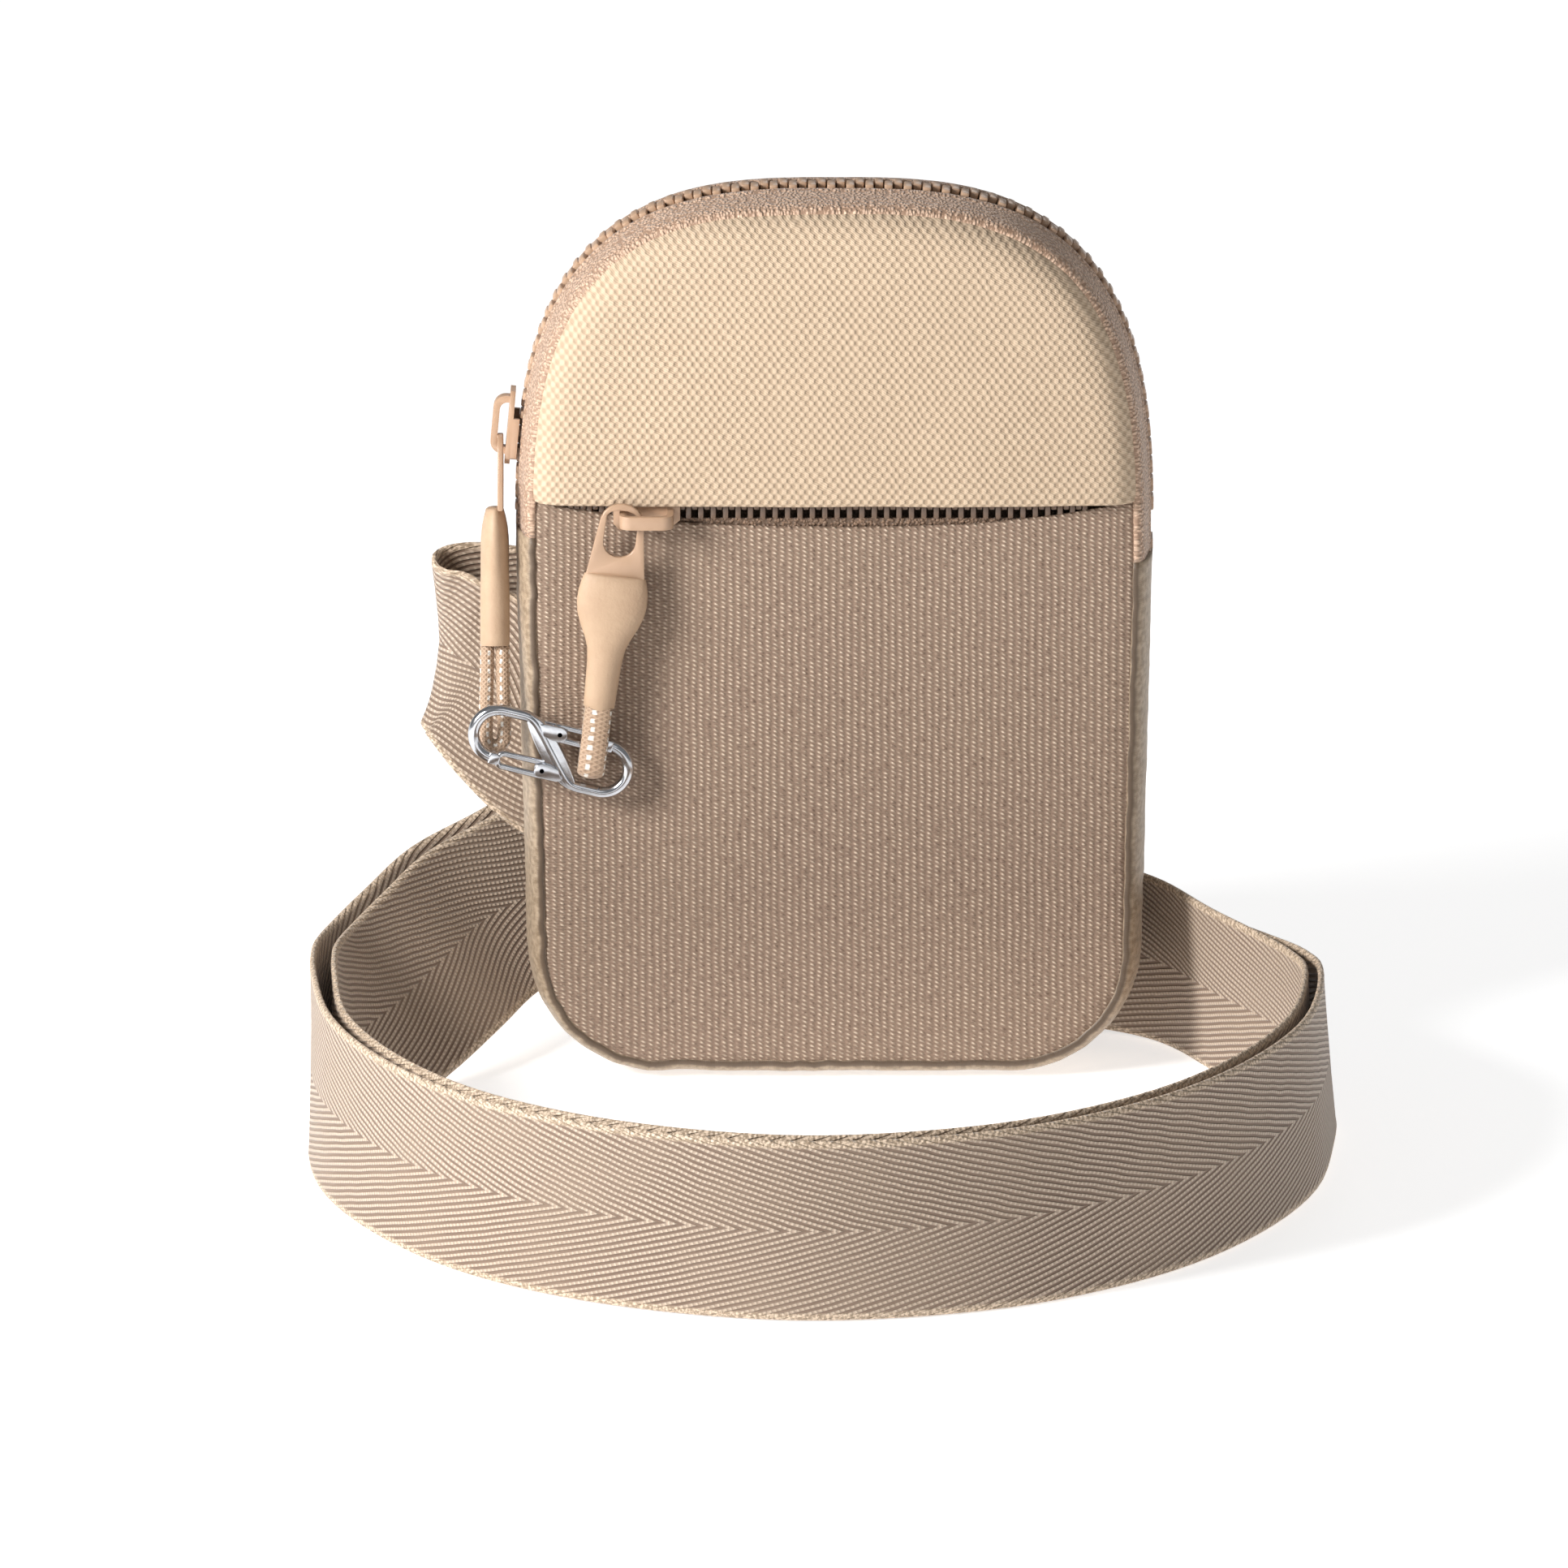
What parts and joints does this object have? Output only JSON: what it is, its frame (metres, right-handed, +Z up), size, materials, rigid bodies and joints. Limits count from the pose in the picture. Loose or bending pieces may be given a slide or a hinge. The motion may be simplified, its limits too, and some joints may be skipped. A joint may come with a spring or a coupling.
{
  "type": "neck pouch wallet",
  "caption": "Small zipped travel pouch with a front zip pocket, linked zip pulls and an adjustable webbing neck strap.",
  "frame": {"origin": "middle of the pouch's base, on the surface it stands on", "axes": "+Z up, the front panel faces -Y, +X to the right seen from the front"},
  "size_m": [0.2149, 0.2313, 0.1935],
  "materials": {
    "canvas": "woven canvas, small diamond weave",
    "ribbed_fabric": "ribbed cloth with a sparkle of light threads",
    "satin_fabric": "smooth satin cloth, soft sheen",
    "lining": "plain woven lining",
    "foam": "thin padding foam",
    "binding": "folded binding tape",
    "zip_tape": "knit zip tape with sheen",
    "pocket_tape": "knit zip tape, dark",
    "zip_teeth": "moulded teeth",
    "slider_metal": "satin enamel",
    "sleeve": "soft moulded sleeve",
    "pull_cord": "braided cord with light flecks",
    "polished_steel": "polished",
    "webbing": "herringbone webbing, satin sheen",
    "glide_plastic": "moulded",
    "thread": "bar-tack stitching"
  },
  "bodies": {
    "pouch": {"front_upper_panel": "canvas", "front_lower_panel": "ribbed_fabric", "pocket_backing": "lining", "front_stiffener": "foam", "back_panel": "ribbed_fabric", "back_stiffener": "foam", "back_lining": "lining", "inner_slip_pocket": "lining", "gusset": "satin_fabric", "seam_binding_front": "binding", "seam_binding_rear": "binding", "main_zip_tape_front": "zip_tape", "main_zip_tape_rear": "zip_tape", "main_zip_teeth_front": "zip_teeth", "main_zip_teeth_rear": "zip_teeth", "main_zip_stops": "zip_teeth", "pocket_zip_tape_upper": "pocket_tape", "pocket_zip_tape_lower": "pocket_tape", "pocket_zip_teeth_upper": "zip_teeth", "pocket_zip_teeth_lower": "zip_teeth", "pocket_zip_stops": "zip_teeth", "strap_main": "webbing", "strap_return": "webbing", "strap_glide": "glide_plastic", "strap_ring": "polished_steel", "ring_tab": "webbing", "strap_stitching": "thread"},
    "main_slider": {"main_slider": "slider_metal"},
    "main_pull": {"main_pull_tab": "slider_metal", "main_pull_sleeve": "sleeve", "main_pull_cord": "pull_cord"},
    "pocket_slider": {"pocket_slider": "slider_metal"},
    "pocket_pull": {"pocket_pull_tab": "slider_metal", "pocket_pull_sleeve": "sleeve", "pocket_pull_cord": "pull_cord"},
    "clip": {"clip_body": "polished_steel", "clip_gate_pins": "polished_steel"},
    "gate_left": {"clip_gate_left": "polished_steel"},
    "gate_right": {"clip_gate_right": "polished_steel"}
  },
  "joints": [
    {"name": "main_zip_slide", "type": "slide", "parent": "pouch", "child": "main_slider", "axis": [0.0906, 0, 0.9959], "range_m": [0, 0.0015]},
    {"name": "main_pull_swing", "type": "hinge", "parent": "main_slider", "child": "main_pull", "pos_m": [-0.0702, 0, 0.1366], "axis": [1, 0, 0], "range_deg": [0, 24]},
    {"name": "pocket_zip_slide", "type": "slide", "parent": "pouch", "child": "pocket_slider", "axis": [1, 0, 0], "range_m": [-0.009, 0.086]},
    {"name": "pocket_pull_swing", "type": "hinge", "parent": "pocket_slider", "child": "pocket_pull", "pos_m": [-0.0443, -0.0183, 0.1265], "axis": [0, 1, 0], "range_deg": [-30, 10]},
    {"name": "clip_swing", "type": "hinge", "parent": "pocket_pull", "child": "clip", "pos_m": [-0.05067, -0.0183, 0.0729], "axis": [0, 1, 0], "range_deg": [-15, 15]},
    {"name": "gate_left_swing", "type": "hinge", "parent": "clip", "child": "gate_left", "pos_m": [-0.06151, -0.0183, 0.07035], "axis": [0, 1, 0], "range_deg": [0, 20], "stiffness_Nm_per_rad": 0.004, "springref_deg": -17.19},
    {"name": "gate_right_swing", "type": "hinge", "parent": "clip", "child": "gate_right", "pos_m": [-0.05769, -0.0183, 0.07825], "axis": [0, 1, 0], "range_deg": [0, 20], "stiffness_Nm_per_rad": 0.004, "springref_deg": -17.19}
  ]
}
